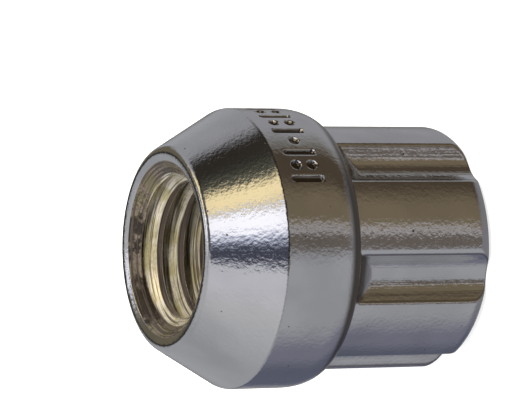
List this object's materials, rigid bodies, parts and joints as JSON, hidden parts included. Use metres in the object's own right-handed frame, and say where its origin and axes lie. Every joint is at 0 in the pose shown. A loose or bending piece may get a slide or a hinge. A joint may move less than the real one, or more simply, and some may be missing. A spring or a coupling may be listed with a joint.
{
  "type": "spline drive lug nut",
  "caption": "Open-ended wheel nut in one piece: conical seat, wide round collar and a splined barrel with straight grooves, threaded from the seat end.",
  "frame": {"origin": "centre of the drive end's bottom, on the nut's axis: the nut stands on its splined drive end", "axes": "+Z along the thread axis, from the drive end to the mouth in the conical seat; one groove faces +X"},
  "size_m": [0.0206, 0.0206, 0.0228],
  "materials": {
    "chrome_plate": "bright chrome plating with a fine orange-peel grain"
  },
  "bodies": {
    "root": {"lug_nut": "chrome_plate"}
  },
  "joints": []
}
